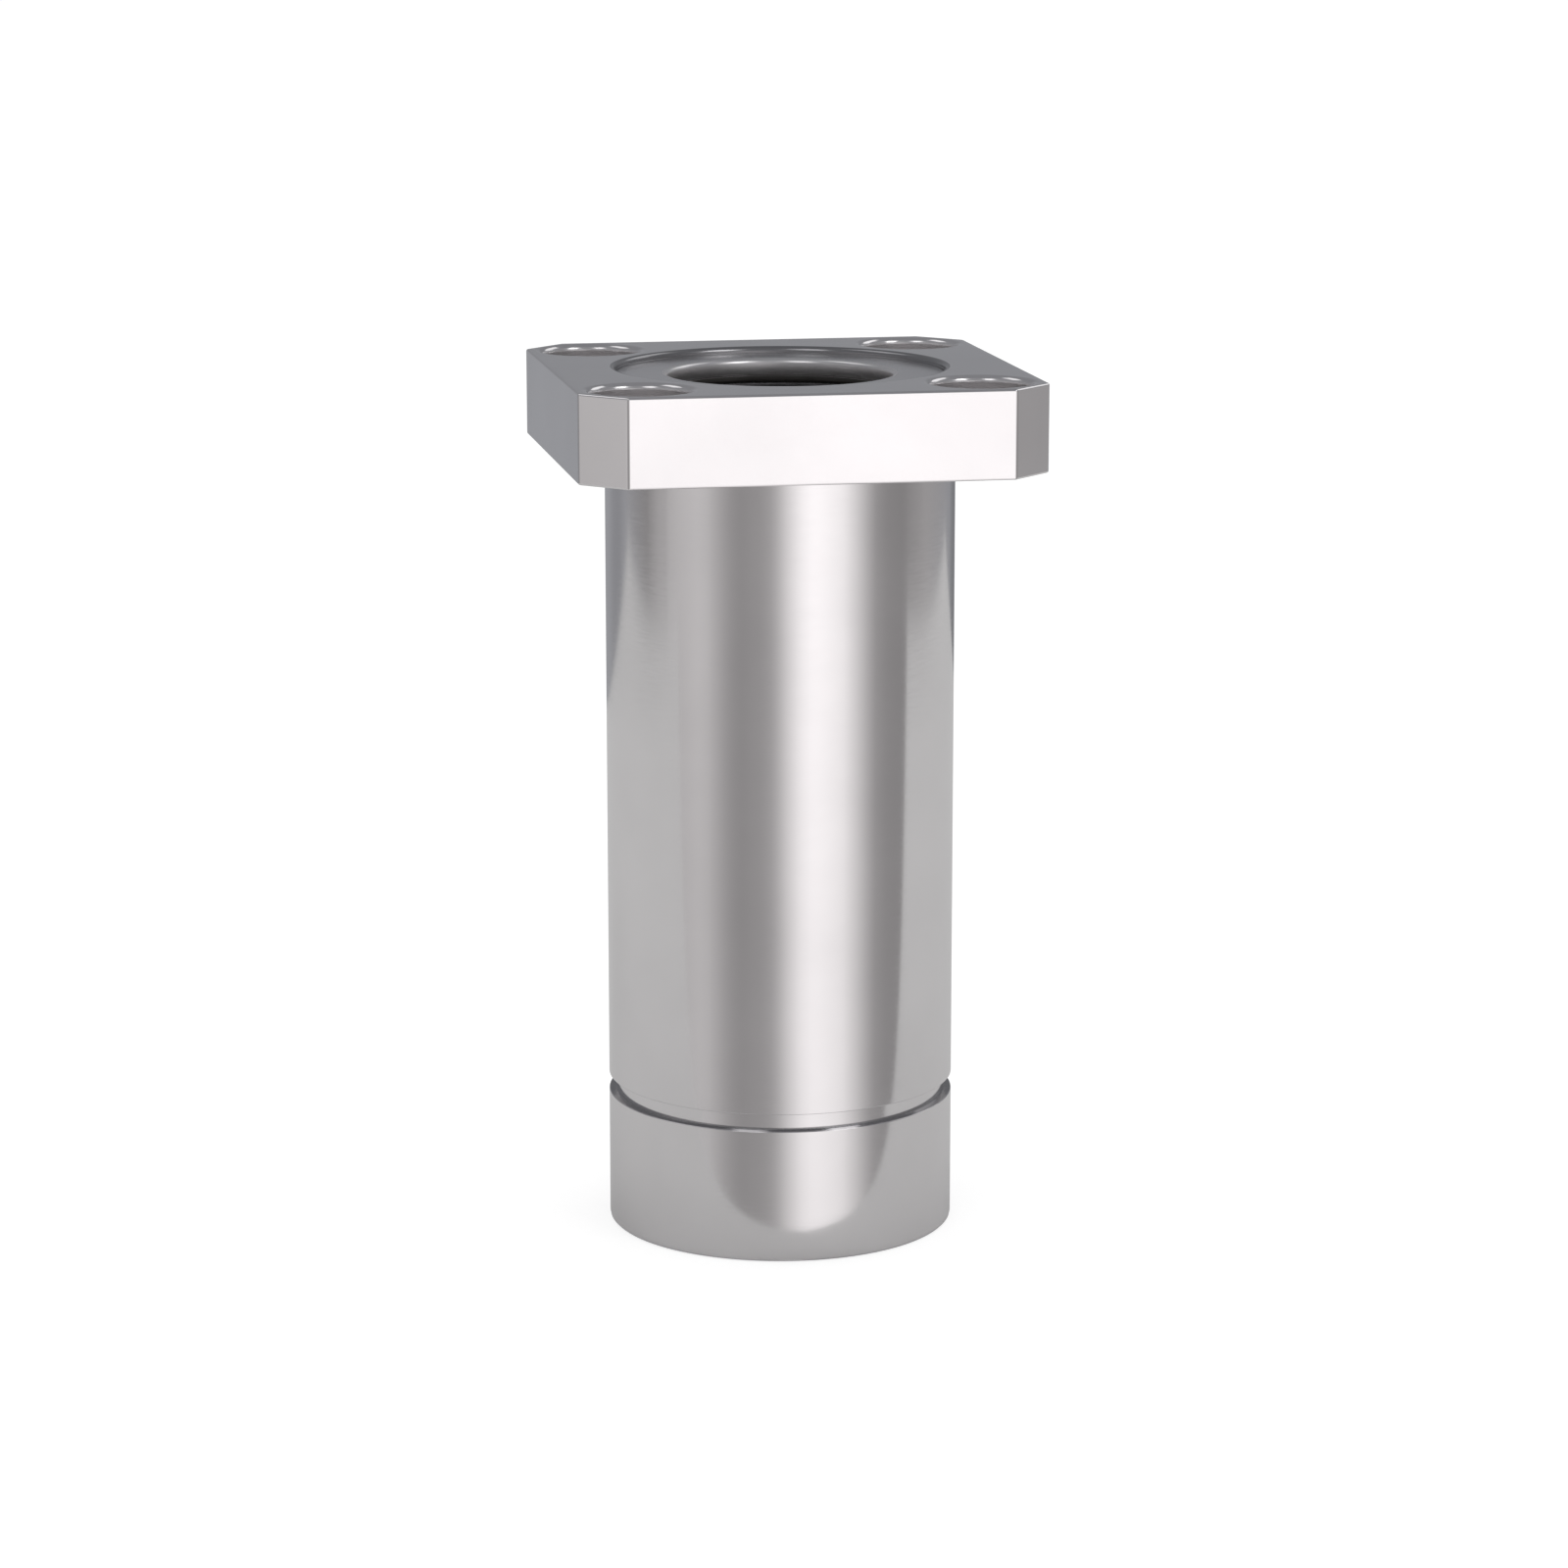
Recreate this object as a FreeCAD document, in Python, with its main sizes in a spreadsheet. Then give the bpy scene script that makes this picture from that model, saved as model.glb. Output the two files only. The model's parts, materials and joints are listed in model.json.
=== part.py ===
import FreeCAD, Part
import math
import os
import Sketcher

# Long square flange linear bearing, in millimetres. It stands on the free end of its sleeve with the
# flange up: the origin is the centre of that end, and the bore runs along +Z.

# Driving sizes, one cell of the sheet each.
SIZES = {
    # The shaft, the balls on it and the oval tracks that they run round
    "shaft_diameter": 20,
    "ball_diameter": 3.175,
    "ball_gap": 0.05,
    "raceway_play": 0.02,
    "circuit_count": 5,
    "channel_play": 0.06,
    "lane_web": 1.5,
    "relief_clearance": 0.08,
    "land_width": 3.4,
    "land_setback": 0.5,
    # The two moulded retainers
    "retainer_bore_clearance": 0.2,
    "retainer_clearance": 0.1,
    "retainer_end_wall": 1.2,
    "retainer_play": 0.1,
    "retainer_bevel": 0.4,
    "key_clearance": 0.15,
    # The sleeve of the outer cylinder
    "bearing_length": 80,
    "raceway_wall": 2.805,
    "sleeve_bevel": 0.3,
    "snap_groove_width": 1.6,
    "snap_groove_depth": 0.75,
    "snap_groove_from_end": 12.3,
    # The square flange and its screw holes
    "flange_thickness": 8,
    "flange_bevel": 0.2,
    "screw_hole": 5.5,
    "head_diameter": 9,
    "head_seat": 2.9,
    "head_bevel": 0.3,
    "head_gap": 1,
    "corner_margin": 1,
    "edge_margin": 1.2972,
    # The stop rings that hold the retainers in
    "stop_ring_thickness": 1.2,
    "stop_ring_width": 2.2,
    "stop_ring_split": 6,
    "stop_ring_bite": 0.6,
    "stop_ring_play": 0.05,
    # The seals, sunk a little below both end faces
    "seal_recess": 0.6,
    "seal_height": 2.4,
    "seal_seat_wall": 1,
    "seal_shoulder": 0.6,
    "seal_fit": 0.02,
    "seal_bevel": 0.3,
    "case_plate": 0.9,
    "case_skirt": 0.8,
    "case_clearance": 0.3,
    "case_collar": 0.5,
    "case_collar_depth": 1.5,
    "case_bevel": 0.2,
    "lip_clearance": 0.03,
    "lip_land": 0.45,
    "lip_flare": 0.3,
    "lip_taper": 0.25,
}

# Sizes that follow from the driving ones.
WORKED = {
    "shaft_radius": "sizes.shaft_diameter / 2",
    "ball_radius": "sizes.ball_diameter / 2",
    "channel_radius": "ball_radius + sizes.channel_play",
    "track_radius": "shaft_radius + sizes.raceway_play / 2 + ball_radius",
    "raceway_radius": "shaft_radius + sizes.raceway_play + sizes.ball_diameter",
    "turn_radius": "channel_radius + sizes.lane_web / 2",
    "lane_spacing": "2 * turn_radius",
    "return_radius": "sqrt(track_radius ^ 2 + lane_spacing ^ 2)",
    "relief_radius": "return_radius + ball_radius + sizes.relief_clearance",
    "sleeve_radius": "raceway_radius + sizes.raceway_wall",
    "land_half": "sizes.land_width / 2",
    "snap_floor_radius": "sleeve_radius - sizes.snap_groove_depth",
    "snap_groove_top": "sizes.snap_groove_from_end + sizes.snap_groove_width",
    "land_root": "(relief_radius + snap_floor_radius) / 2",
    "sleeve_tip_radius": "sleeve_radius - sizes.sleeve_bevel",
    "flange_bottom": "sizes.bearing_length - sizes.flange_thickness",
    "head_radius": "sizes.head_diameter / 2",
    "screw_radius": "sizes.screw_hole / 2",
    "bolt_circle_radius": "sleeve_radius + sizes.head_gap + head_radius",
    "bolt_offset": "bolt_circle_radius / sqrt(2)",
    "head_depth": "sizes.flange_thickness - sizes.head_seat",
    "flange_half": "bolt_offset + head_radius + sizes.edge_margin",
    "corner_reach": "bolt_circle_radius + head_radius + sizes.corner_margin",
    "corner_start": "corner_reach * sqrt(2) - flange_half",
    "seat_radius": "sleeve_radius - sizes.seal_seat_wall",
    "mouth_radius": "seat_radius + sizes.seal_bevel",
    "seat_depth": "sizes.seal_recess + sizes.seal_height",
    "ring_groove_radius": "relief_radius + sizes.stop_ring_bite",
    "ring_groove_start": "seat_depth + sizes.seal_shoulder",
    "ring_groove_end": "ring_groove_start + sizes.stop_ring_thickness + sizes.stop_ring_play",
    "ring_seat": "ring_groove_end - sizes.stop_ring_thickness",
    "ring_outer_radius": "ring_groove_radius - sizes.stop_ring_play",
    "ring_inner_radius": "ring_outer_radius - sizes.stop_ring_width",
    "ring_split_half": "sizes.stop_ring_split / 2",
    "upper_bevel": "sizes.bearing_length - sizes.seal_bevel",
    "upper_seat": "sizes.bearing_length - seat_depth",
    "upper_ring_start": "sizes.bearing_length - ring_groove_start",
    "upper_ring_end": "sizes.bearing_length - ring_groove_end",
    "upper_ring_seat": "sizes.bearing_length - ring_seat",
    "retainer_length": "sizes.bearing_length / 2 - ring_groove_end - sizes.retainer_play",
    "retainer_bore_radius": "shaft_radius + sizes.retainer_bore_clearance",
    "retainer_radius": "relief_radius - sizes.retainer_clearance",
    "lower_middle": "(sizes.bearing_length - retainer_length) / 2",
    "upper_middle": "(sizes.bearing_length + retainer_length) / 2",
    "key_half": "land_half + sizes.key_clearance",
    "key_floor": "sqrt(raceway_radius ^ 2 - land_half ^ 2) - sizes.key_clearance",
    "turn_height": "retainer_length / 2 - sizes.retainer_end_wall - channel_radius - turn_radius",
    "land_length": "2 * (turn_height - sizes.land_setback)",
    "case_outer_radius": "seat_radius - sizes.seal_fit",
    "case_skirt_radius": "case_outer_radius - sizes.case_skirt",
    "case_plate_bottom": "sizes.seal_recess + sizes.case_plate",
    "case_inner_radius": "shaft_radius + sizes.case_clearance",
    "case_mouth_radius": "case_inner_radius + sizes.case_bevel",
    "case_mouth_bottom": "sizes.seal_recess + sizes.case_bevel",
    "case_collar_radius": "case_inner_radius + sizes.case_collar",
    "case_collar_bottom": "sizes.seal_recess + sizes.case_collar_depth",
    "lip_radius": "shaft_radius + sizes.lip_clearance",
    "lip_step_radius": "case_collar_radius + sizes.seal_fit",
    "lip_land_bottom": "case_collar_bottom + sizes.lip_land",
    "lip_flare_radius": "lip_radius + sizes.lip_flare",
    "lip_bottom": "lip_land_bottom + sizes.lip_taper",
    "lip_outer_radius": "case_skirt_radius - sizes.seal_fit",
}

doc = FreeCAD.newDocument("long_square_flange_linear_bearing")

sizes = doc.addObject("Spreadsheet::Sheet", "sizes")
for row, (alias, amount) in enumerate(SIZES.items(), start=1):
    sizes.set(f"A{row}", alias)
    sizes.set(f"B{row}", str(amount))
    sizes.setAlias(f"B{row}", alias)

worked = doc.addObject("App::VarSet", "worked")
for alias in WORKED:
    worked.addProperty("App::PropertyFloat", alias)
for alias, formula in WORKED.items():
    worked.setExpression(alias, formula)
doc.recompute()


def ref(name):
    """The expression that follows a named size. A leading minus sign turns it round."""
    plain = name.lstrip("-")
    sign = name[: len(name) - len(plain)]
    owner = "sizes" if plain in SIZES else "worked"
    return f"{sign}{owner}.{plain}"


def number(name):
    """The present value of a named size, where None is zero."""
    if name is None:
        return 0.0
    plain = name.lstrip("-")
    owner = sizes if plain in SIZES else worked
    return float(getattr(owner, plain)) * (-1 if name != plain else 1)


def origin_feature(body, role):
    return next(feature for feature in body.Origin.OriginFeatures if feature.Role == role)


def new_body(label, place=None, flipped=False):
    """A body drawn about a plane across the bore, which lies at a named height. Flipped, it faces down."""
    body = doc.addObject("PartDesign::Body", label)
    body.Label = label
    turn = FreeCAD.Rotation(FreeCAD.Vector(1, 0, 0), 180 if flipped else 0)
    body.Placement = FreeCAD.Placement(FreeCAD.Vector(0, 0, number(place)), turn)
    if place is not None:
        body.setExpression("Placement.Base.z", ref(place))
    return body


def new_sketch(body, name, role="XY_Plane", lift=None):
    """A sketch on one of the body's own origin planes, lifted off it by a named size."""
    sketch = body.newObject("Sketcher::SketchObject", name)
    sketch.AttachmentSupport = (origin_feature(body, role), [""])
    sketch.MapMode = "FlatFace"
    if lift is not None:
        sketch.setExpression("AttachmentOffset.Base.z", ref(lift))
    return sketch


def constrain(sketch, kind, *places):
    return sketch.addConstraint(Sketcher.Constraint(kind, *places))


def drive(sketch, kind, *places, by):
    """A measured constraint that follows a named size."""
    row = constrain(sketch, kind, *places, number(by))
    sketch.setExpression(f"Constraints[{row}]", ref(by))


def pin(sketch, geometry, point, x, y):
    """Hold a point at named distances from the sketch's origin, where None is on the axis."""
    for kind, name, axis in (("DistanceX", x, -2), ("DistanceY", y, -1)):
        if name is None:
            constrain(sketch, "PointOnObject", geometry, point, axis)
        else:
            drive(sketch, kind, -1, 1, geometry, point, by=name)


def spot(x, y):
    return FreeCAD.Vector(number(x), number(y), 0)


def draw_outline(sketch, corners):
    """Straight edges through corners given as pairs of named sizes, closed."""
    first = sketch.GeometryCount
    ends = corners[1:] + corners[:1]
    for start, end in zip(corners, ends):
        sketch.addGeometry(Part.LineSegment(spot(*start), spot(*end)), False)
    for step, corner in enumerate(corners):
        edge = first + step
        before = first + (step - 1) % len(corners)
        constrain(sketch, "Coincident", before, 2, edge, 1)
        pin(sketch, edge, 1, *corner)


def draw_circle(sketch, radius, x=None, y=None):
    ring = sketch.addGeometry(Part.Circle(spot(x, y), FreeCAD.Vector(0, 0, 1), number(radius)), False)
    pin(sketch, ring, 3, x, y)
    drive(sketch, "Radius", ring, by=radius)


def extrude(body, kind, name, sketch, length=None, symmetric=False, backwards=False):
    """A Pad or a Pocket of a named length, or a Pocket right through where there is none."""
    feature = body.newObject(f"PartDesign::{kind}", name)
    feature.Profile = sketch
    feature.SideType = "Symmetric" if symmetric else "One side"
    feature.Reversed = backwards
    if length is None:
        feature.Type = "ThroughAll"
    else:
        feature.setExpression("Length", ref(length))
    body.Tip = feature
    doc.recompute()
    return feature


def turn(body, kind, name, sketch):
    """A full Revolution or Groove about the bore."""
    feature = body.newObject(f"PartDesign::{kind}", name)
    feature.Profile = sketch
    feature.ReferenceAxis = (sketch, ["V_Axis"])
    feature.Angle = 360
    body.Tip = feature
    doc.recompute()
    return feature


def round_the_bore(body, name, originals, count):
    """Copies of features, spaced evenly about the bore."""
    pattern = body.newObject("PartDesign::PolarPattern", name)
    pattern.Originals = originals
    pattern.Axis = (origin_feature(body, "Z_Axis"), [""])
    pattern.Angle = 360
    pattern.setExpression("Occurrences", ref(count))
    body.Tip = pattern
    doc.recompute()
    return pattern


def bevel(body, name, base, size, wanted):
    """A chamfer of a named size on the edges of a feature that a test picks out."""
    chamfer = body.newObject("PartDesign::Chamfer", name)
    edges = [f"Edge{row}" for row, edge in enumerate(base.Shape.Edges, start=1) if wanted(edge)]
    chamfer.Base = (base, edges)
    chamfer.setExpression("Size", ref(size))
    body.Tip = chamfer
    doc.recompute()
    return chamfer


def is_rim(edge, radius, height):
    """Whether an edge is a circle of that radius lying at that height."""
    curve = edge.Curve
    if not isinstance(curve, Part.Circle):
        return False
    return math.isclose(curve.Radius, radius, abs_tol=1e-4) and math.isclose(
        edge.BoundBox.ZMin, height, abs_tol=1e-4
    )


def make_outer_cylinder():
    """Flange and sleeve in one: milled plate, turned sleeve, stepped bore, raceway lands, screw holes."""
    body = new_body("outer_cylinder")

    plate = new_sketch(body, "flange_outline", lift="flange_bottom")
    half, start = "flange_half", "corner_start"
    draw_outline(
        plate,
        [
            (half, "-" + start),
            (half, start),
            (start, half),
            ("-" + start, half),
            ("-" + half, start),
            ("-" + half, "-" + start),
            ("-" + start, "-" + half),
            (start, "-" + half),
        ],
    )
    flange = extrude(body, "Pad", "flange", plate, "flange_thickness")
    bevel(body, "flange_edges", flange, "flange_bevel", lambda edge: True)

    outside = new_sketch(body, "sleeve_outline", "XZ_Plane")
    draw_outline(
        outside,
        [
            (None, None),
            ("sleeve_tip_radius", None),
            ("sleeve_radius", "sleeve_bevel"),
            ("sleeve_radius", "snap_groove_from_end"),
            ("snap_floor_radius", "snap_groove_from_end"),
            ("snap_floor_radius", "snap_groove_top"),
            ("sleeve_radius", "snap_groove_top"),
            ("sleeve_radius", "flange_bottom"),
            (None, "flange_bottom"),
        ],
    )
    turn(body, "Revolution", "sleeve", outside)

    inside = new_sketch(body, "bore_outline", "XZ_Plane")
    draw_outline(
        inside,
        [
            (None, None),
            ("mouth_radius", None),
            ("seat_radius", "seal_bevel"),
            ("seat_radius", "seat_depth"),
            ("relief_radius", "seat_depth"),
            ("relief_radius", "ring_groove_start"),
            ("ring_groove_radius", "ring_groove_start"),
            ("ring_groove_radius", "ring_groove_end"),
            ("relief_radius", "ring_groove_end"),
            ("relief_radius", "upper_ring_end"),
            ("ring_groove_radius", "upper_ring_end"),
            ("ring_groove_radius", "upper_ring_start"),
            ("relief_radius", "upper_ring_start"),
            ("relief_radius", "upper_seat"),
            ("seat_radius", "upper_seat"),
            ("seat_radius", "upper_bevel"),
            ("mouth_radius", "bearing_length"),
            (None, "bearing_length"),
        ],
    )
    turn(body, "Groove", "stepped_bore", inside)

    lands = []
    for end in ("lower", "upper"):
        land = new_sketch(body, f"{end}_land_outline", lift=f"{end}_middle")
        draw_outline(
            land,
            [
                ("track_radius", "-land_half"),
                ("land_root", "-land_half"),
                ("land_root", "land_half"),
                ("track_radius", "land_half"),
            ],
        )
        lands.append(extrude(body, "Pad", f"{end}_land", land, "land_length", symmetric=True))
    round_the_bore(body, "raceway_lands", lands, "circuit_count")

    ground = new_sketch(body, "raceway_outline", lift="bearing_length")
    draw_circle(ground, "raceway_radius")
    extrude(body, "Pocket", "ground_raceway", ground)

    heads = new_sketch(body, "screw_places", lift="bearing_length")
    for x in ("bolt_offset", "-bolt_offset"):
        for y in ("bolt_offset", "-bolt_offset"):
            draw_circle(heads, "screw_radius", x, y)
    doc.recompute()
    holes = body.newObject("PartDesign::Hole", "screw_holes")
    holes.Profile = heads
    holes.DepthType = "ThroughAll"
    holes.HoleCutType = "Counterbore"
    holes.HoleCutCustomValues = True
    holes.setExpression("Diameter", ref("screw_hole"))
    holes.setExpression("HoleCutDiameter", ref("head_diameter"))
    holes.setExpression("HoleCutDepth", ref("head_depth"))
    body.Tip = holes
    doc.recompute()
    head_radius = number("head_radius")
    top = number("bearing_length")
    bevel(body, "head_rims", holes, "head_bevel", lambda edge: is_rim(edge, head_radius, top))
    return body


def draw_channel(sketch):
    """The section of a ball channel: a round floor under the ball and straight sides to the outside."""
    centre = spot("track_radius", None)
    radius = number("channel_radius")
    outside = number("sleeve_radius")
    ring = Part.Circle(centre, FreeCAD.Vector(0, 0, 1), radius)
    floor = sketch.addGeometry(Part.ArcOfCircle(ring, math.pi / 2, 3 * math.pi / 2), False)
    corners = [(centre.x, -radius), (outside, -radius), (outside, radius), (centre.x, radius)]
    for start, end in zip(corners, corners[1:]):
        sketch.addGeometry(Part.LineSegment(FreeCAD.Vector(*start), FreeCAD.Vector(*end)), False)
    right, back, left = floor + 1, floor + 2, floor + 3
    constrain(sketch, "Coincident", floor, 2, right, 1)
    constrain(sketch, "Coincident", right, 2, back, 1)
    constrain(sketch, "Coincident", back, 2, left, 1)
    constrain(sketch, "Coincident", left, 2, floor, 1)
    constrain(sketch, "Horizontal", right)
    constrain(sketch, "Vertical", back)
    constrain(sketch, "Horizontal", left)
    constrain(sketch, "Vertical", floor, 1, floor, 3)
    constrain(sketch, "Vertical", floor, 2, floor, 3)
    pin(sketch, floor, 3, "track_radius", None)
    drive(sketch, "Radius", floor, by="channel_radius")
    drive(sketch, "DistanceX", -1, 1, back, 1, by="sleeve_radius")


def draw_track(sketch):
    """The oval that the balls' centres follow: the loaded lane, a turn, the return lane and a turn."""
    radius = number("turn_radius")
    across = FreeCAD.Vector(0, 0, 1)
    top_ring = Part.Circle(spot("turn_radius", "turn_height"), across, radius)
    bottom_ring = Part.Circle(spot("turn_radius", "-turn_height"), across, radius)
    loaded = sketch.addGeometry(
        Part.LineSegment(spot(None, "-turn_height"), spot(None, "turn_height")), False
    )
    top = sketch.addGeometry(Part.ArcOfCircle(top_ring, 0, math.pi), False)
    back = sketch.addGeometry(
        Part.LineSegment(spot("lane_spacing", "turn_height"), spot("lane_spacing", "-turn_height")), False
    )
    bottom = sketch.addGeometry(Part.ArcOfCircle(bottom_ring, math.pi, 2 * math.pi), False)
    pin(sketch, loaded, 1, None, "-turn_height")
    pin(sketch, loaded, 2, None, "turn_height")
    pin(sketch, back, 1, "lane_spacing", "turn_height")
    pin(sketch, back, 2, "lane_spacing", "-turn_height")
    constrain(sketch, "Coincident", loaded, 2, top, 2)
    constrain(sketch, "Coincident", top, 1, back, 1)
    constrain(sketch, "Coincident", back, 2, bottom, 2)
    constrain(sketch, "Coincident", bottom, 1, loaded, 1)
    constrain(sketch, "Horizontal", top, 1, top, 3)
    constrain(sketch, "Horizontal", bottom, 1, bottom, 3)


def make_retainer(label, middle):
    """A moulded tube, keyed to the raceway lands, with an oval ball channel for each circuit."""
    body = new_body(label, middle)

    ring = new_sketch(body, "tube_outline")
    draw_circle(ring, "retainer_radius")
    draw_circle(ring, "retainer_bore_radius")
    tube = extrude(body, "Pad", "tube", ring, "retainer_length", symmetric=True)
    bore = number("retainer_bore_radius")
    half = number("retainer_length") / 2
    bevel(
        body,
        "bore_rims",
        tube,
        "retainer_bevel",
        lambda edge: is_rim(edge, bore, half) or is_rim(edge, bore, -half),
    )

    key = new_sketch(body, "keyway_outline")
    draw_outline(
        key,
        [
            ("key_floor", "-key_half"),
            ("sleeve_radius", "-key_half"),
            ("sleeve_radius", "key_half"),
            ("key_floor", "key_half"),
        ],
    )
    keyway = extrude(body, "Pocket", "keyway", key, symmetric=True)

    track = new_sketch(body, "track_path", "YZ_Plane", lift="track_radius")
    draw_track(track)
    section = new_sketch(body, "channel_section", lift="-turn_height")
    draw_channel(section)
    doc.recompute()
    channel = body.newObject("PartDesign::SubtractivePipe", "channel")
    channel.Profile = section
    channel.Spine = (track, [f"Edge{row}" for row in range(1, len(track.Shape.Edges) + 1)])
    channel.Mode = "Binormal"
    channel.Binormal = FreeCAD.Vector(1, 0, 0)
    body.Tip = channel
    doc.recompute()
    round_the_bore(body, "circuits", [keyway, channel], "circuit_count")
    return body


def make_stop_ring(label, place, flipped):
    """A split ring of flat section that springs into its groove in the outer cylinder."""
    body = new_body(label, place, flipped)
    ring = new_sketch(body, "ring_outline")
    draw_circle(ring, "ring_outer_radius")
    draw_circle(ring, "ring_inner_radius")
    extrude(body, "Pad", "ring", ring, "stop_ring_thickness", backwards=True)
    split = new_sketch(body, "split_outline")
    draw_outline(
        split,
        [
            (None, "-ring_split_half"),
            ("sleeve_radius", "-ring_split_half"),
            ("sleeve_radius", "ring_split_half"),
            (None, "ring_split_half"),
        ],
    )
    extrude(body, "Pocket", "split", split, symmetric=True)
    return body


def make_seal_case(label, place, flipped):
    """A pressed steel cup: a plate, a skirt on the shoulder of its seat, and a collar round the shaft."""
    body = new_body(label, place, flipped)
    section = new_sketch(body, "case_section", "XZ_Plane")
    draw_outline(
        section,
        [
            ("case_mouth_radius", "-seal_recess"),
            ("case_outer_radius", "-seal_recess"),
            ("case_outer_radius", "-seat_depth"),
            ("case_skirt_radius", "-seat_depth"),
            ("case_skirt_radius", "-case_plate_bottom"),
            ("case_collar_radius", "-case_plate_bottom"),
            ("case_collar_radius", "-case_collar_bottom"),
            ("case_inner_radius", "-case_collar_bottom"),
            ("case_inner_radius", "-case_mouth_bottom"),
        ],
    )
    turn(body, "Revolution", "case", section)
    return body


def make_seal_lip(label, place, flipped):
    """A rubber washer under the case, with a lip that comes in under the collar and wipes the shaft."""
    body = new_body(label, place, flipped)
    section = new_sketch(body, "lip_section", "XZ_Plane")
    draw_outline(
        section,
        [
            ("lip_radius", "-case_collar_bottom"),
            ("lip_step_radius", "-case_collar_bottom"),
            ("lip_step_radius", "-case_plate_bottom"),
            ("lip_outer_radius", "-case_plate_bottom"),
            ("lip_outer_radius", "-lip_bottom"),
            ("lip_flare_radius", "-lip_bottom"),
            ("lip_radius", "-lip_land_bottom"),
        ],
    )
    turn(body, "Revolution", "lip", section)
    return body


def track_place(along):
    """How far across and up from the middle of the loaded lane a length along the oval ends."""
    radius = number("turn_radius")
    height = number("turn_height")
    straight = 2 * height
    curve = math.pi * radius
    along %= 2 * (straight + curve)
    if along < straight:
        return 0.0, along - height
    along -= straight
    if along < curve:
        angle = math.pi - along / radius
        return radius + radius * math.cos(angle), height + radius * math.sin(angle)
    along -= curve
    if along < straight:
        return 2 * radius, height - along
    angle = -(along - straight) / radius
    return radius + radius * math.cos(angle), -height + radius * math.sin(angle)


def ball_spacing():
    """The pitch and count of balls round the oval that keep neighbours apart also in the turns."""
    radius = number("turn_radius")
    length = 4 * number("turn_height") + 2 * math.pi * radius
    apart = number("ball_diameter") + number("ball_gap")
    least = 2 * radius * math.asin(apart / (2 * radius))
    count = math.floor(length / least)
    return length / count, count


def make_circuit(label, middle, order):
    """The balls of one circuit, a little further round the oval than those of the circuit before."""
    pitch, count = ball_spacing()
    circuits = int(number("circuit_count"))
    angle = 360 * order / circuits
    about = FreeCAD.Rotation(FreeCAD.Vector(0, 0, 1), angle)
    balls = []
    for step in range(count):
        across, up = track_place((step + order / circuits) * pitch)
        centre = about.multVec(FreeCAD.Vector(number("track_radius"), across, up))
        ball = doc.addObject("Part::Sphere", f"{label}_ball_{step + 1}")
        ball.setExpression("Radius", ref("ball_radius"))
        ball.Placement = FreeCAD.Placement(centre, FreeCAD.Rotation())
        balls.append(ball)
    circuit = doc.addObject("Part::Compound", label)
    circuit.Label = label
    circuit.Links = balls
    circuit.setExpression("Placement.Base.z", ref(middle))
    return circuit


parts = [make_outer_cylinder()]
for end, end_face, ring_face in (
    ("upper", "bearing_length", "upper_ring_seat"),
    ("lower", None, "ring_seat"),
):
    flipped = end == "lower"
    parts.append(make_retainer(f"{end}_retainer", f"{end}_middle"))
    parts.append(make_stop_ring(f"{end}_stop_ring", ring_face, flipped))
    parts.append(make_seal_case(f"{end}_seal_case", end_face, flipped))
    parts.append(make_seal_lip(f"{end}_seal_lip", end_face, flipped))
    for order in range(int(number("circuit_count"))):
        parts.append(make_circuit(f"{end}_ball_circuit_{order + 1}", f"{end}_middle", order))
doc.recompute()

for item in doc.Objects:
    if "Invalid" in item.State or "Error" in item.State:
        raise RuntimeError(f"{item.Label} failed: {item.State}")
for part in parts:
    if part.Shape.isNull() or not part.Shape.isValid():
        raise RuntimeError(f"{part.Label} has no valid shape")

os.makedirs("parts", exist_ok=True)
for part in parts:
    part.Shape.exportStep(f"parts/{part.Label}.step")
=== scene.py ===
import json
import math

import bmesh
import bpy
from bpy.props import FloatProperty, FloatVectorProperty, PointerProperty
from mathutils import Matrix, Vector


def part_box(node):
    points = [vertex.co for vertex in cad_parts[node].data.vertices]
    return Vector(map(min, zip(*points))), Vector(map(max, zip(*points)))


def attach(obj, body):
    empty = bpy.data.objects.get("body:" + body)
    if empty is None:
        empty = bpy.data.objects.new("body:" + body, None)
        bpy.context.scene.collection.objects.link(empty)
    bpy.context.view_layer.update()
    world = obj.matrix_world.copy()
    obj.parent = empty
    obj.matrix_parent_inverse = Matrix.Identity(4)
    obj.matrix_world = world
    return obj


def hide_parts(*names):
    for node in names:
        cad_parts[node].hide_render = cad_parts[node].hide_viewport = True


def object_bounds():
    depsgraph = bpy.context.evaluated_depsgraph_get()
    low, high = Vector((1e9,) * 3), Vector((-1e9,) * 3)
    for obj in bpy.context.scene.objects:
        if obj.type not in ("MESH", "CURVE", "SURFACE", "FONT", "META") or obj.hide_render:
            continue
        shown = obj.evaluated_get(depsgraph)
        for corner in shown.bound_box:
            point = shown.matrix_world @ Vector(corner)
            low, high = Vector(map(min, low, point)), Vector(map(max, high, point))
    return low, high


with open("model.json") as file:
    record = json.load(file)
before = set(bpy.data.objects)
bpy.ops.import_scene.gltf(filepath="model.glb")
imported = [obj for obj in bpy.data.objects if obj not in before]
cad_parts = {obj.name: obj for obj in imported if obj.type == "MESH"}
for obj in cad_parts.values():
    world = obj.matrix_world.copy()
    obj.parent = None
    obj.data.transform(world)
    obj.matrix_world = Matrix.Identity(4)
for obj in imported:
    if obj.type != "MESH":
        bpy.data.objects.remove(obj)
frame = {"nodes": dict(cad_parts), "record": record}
CAD_LOW, CAD_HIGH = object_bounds()

bl_info = {
    "name": "Long square flange linear bearing",
    "version": (1, 0, 0),
    "blender": (4, 5, 0),
    "location": "3D View > Sidebar > Bearing",
    "description": "Dresses the bearing in ground steel, pressed seals and moulded resin, in a plain studio",
    "category": "Object",
}

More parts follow.
